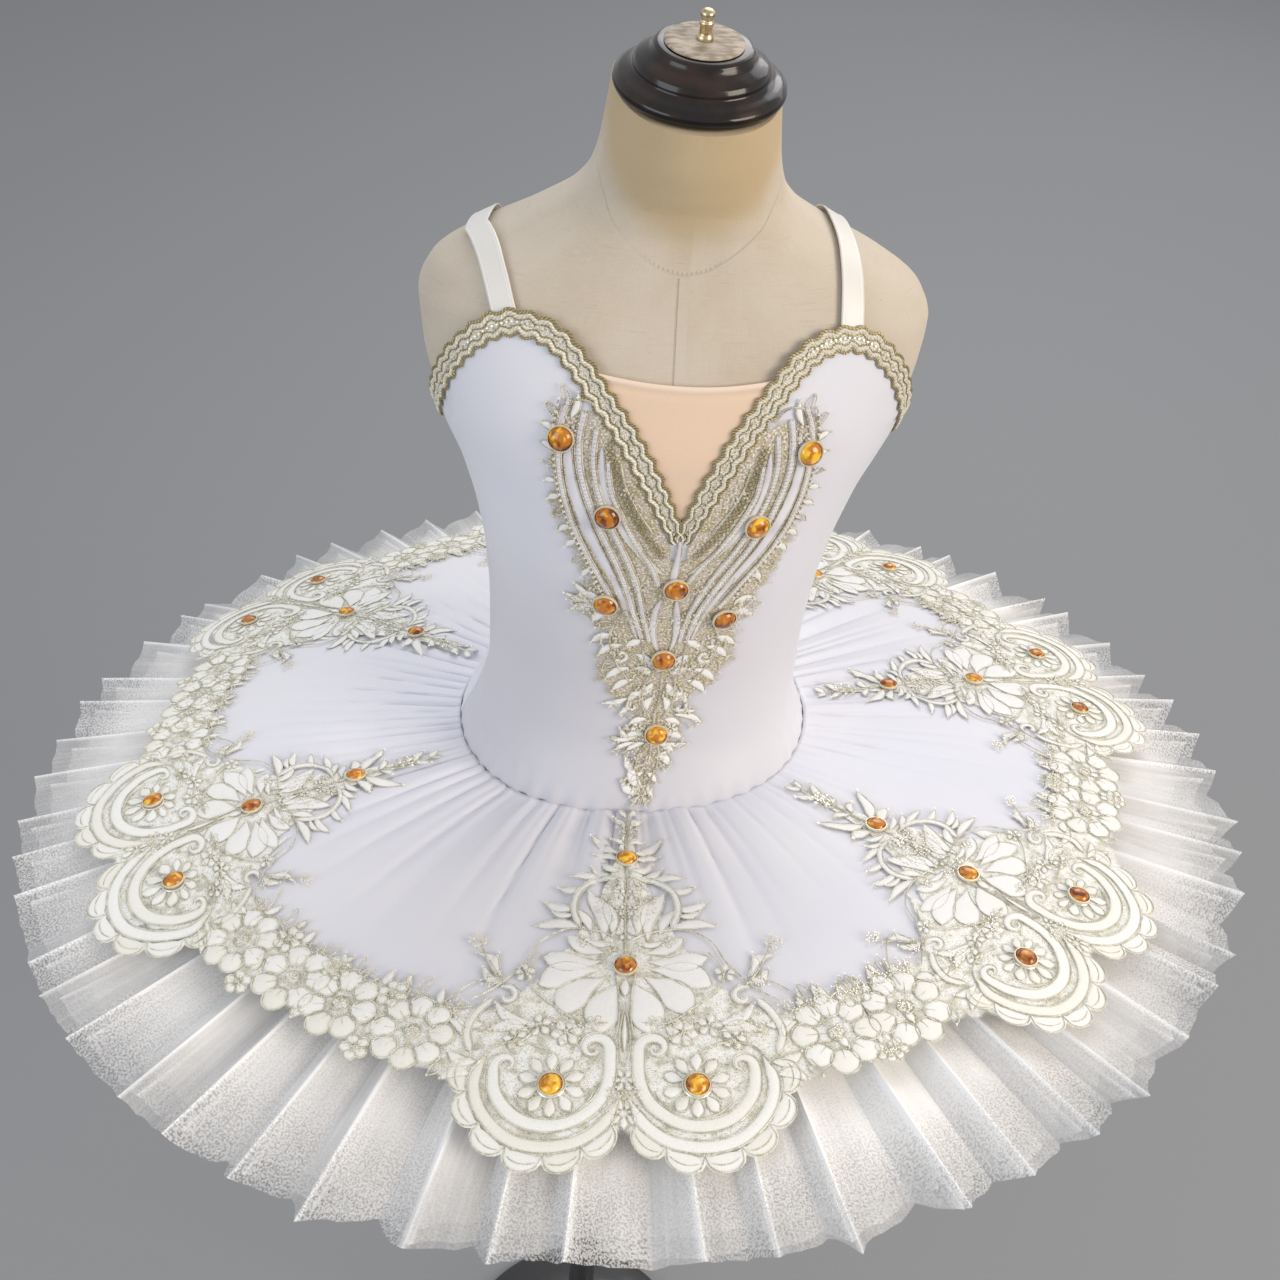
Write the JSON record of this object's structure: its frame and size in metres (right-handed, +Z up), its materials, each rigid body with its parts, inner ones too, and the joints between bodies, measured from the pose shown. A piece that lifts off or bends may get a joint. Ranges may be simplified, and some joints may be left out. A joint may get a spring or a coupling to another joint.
{
  "type": "ballet tutu on a dress form",
  "caption": "White platter tutu with a cream lace bodice, amber stones and a pleated net skirt, worn by a limbless linen dress form on a round stand.",
  "frame": {"origin": "centre of the stand base's flat underside", "axes": "+Z up along the stand's pole, -Y out of the garment's front, +X towards the viewer's right when the front is seen"},
  "size_m": [0.7452, 0.7403, 1.3793],
  "materials": {
    "linen": "matte",
    "black_wood": "gloss",
    "worn_wood": "satin",
    "brass": "polished",
    "black_iron": "satin",
    "white_stretch_cloth": "satin",
    "skin_net": "matte",
    "cream_braid": "satin",
    "white_elastic": "satin",
    "cream_lace": "satin",
    "white_net": "matte",
    "amber_stone": "gloss"
  },
  "bodies": {
    "root": {"torso_form": "linen", "neck_cap": "black_wood", "cap_disc": "worn_wood", "cap_finial": "brass", "stand_base": "black_iron", "pole_collar": "black_iron", "stand_pole": "black_iron", "bodice_front": "white_stretch_cloth", "bodice_back": "white_stretch_cloth", "neckline_insert": "skin_net", "neckline_trim_left": "cream_braid", "neckline_trim_right": "cream_braid", "neckline_trim_back": "cream_braid", "strap_left": "white_elastic", "strap_right": "white_elastic", "bodice_lace": "cream_lace", "brief_front": "white_stretch_cloth", "brief_back": "white_stretch_cloth", "skirt_overlay": "white_stretch_cloth", "net_layer_1": "white_net", "net_layer_2": "white_net", "net_layer_3": "white_net", "bodice_gem_1": "amber_stone", "bodice_gem_2": "amber_stone", "bodice_gem_3": "amber_stone", "bodice_gem_4": "amber_stone", "bodice_gem_5": "amber_stone", "bodice_gem_6": "amber_stone", "bodice_gem_7": "amber_stone", "bodice_gem_8": "amber_stone", "bodice_gem_9": "amber_stone", "skirt_lace_1": "cream_lace", "skirt_lace_2": "cream_lace", "skirt_lace_3": "cream_lace", "skirt_lace_4": "cream_lace", "skirt_lace_5": "cream_lace", "skirt_lace_6": "cream_lace", "skirt_lace_7": "cream_lace"}
  },
  "joints": []
}
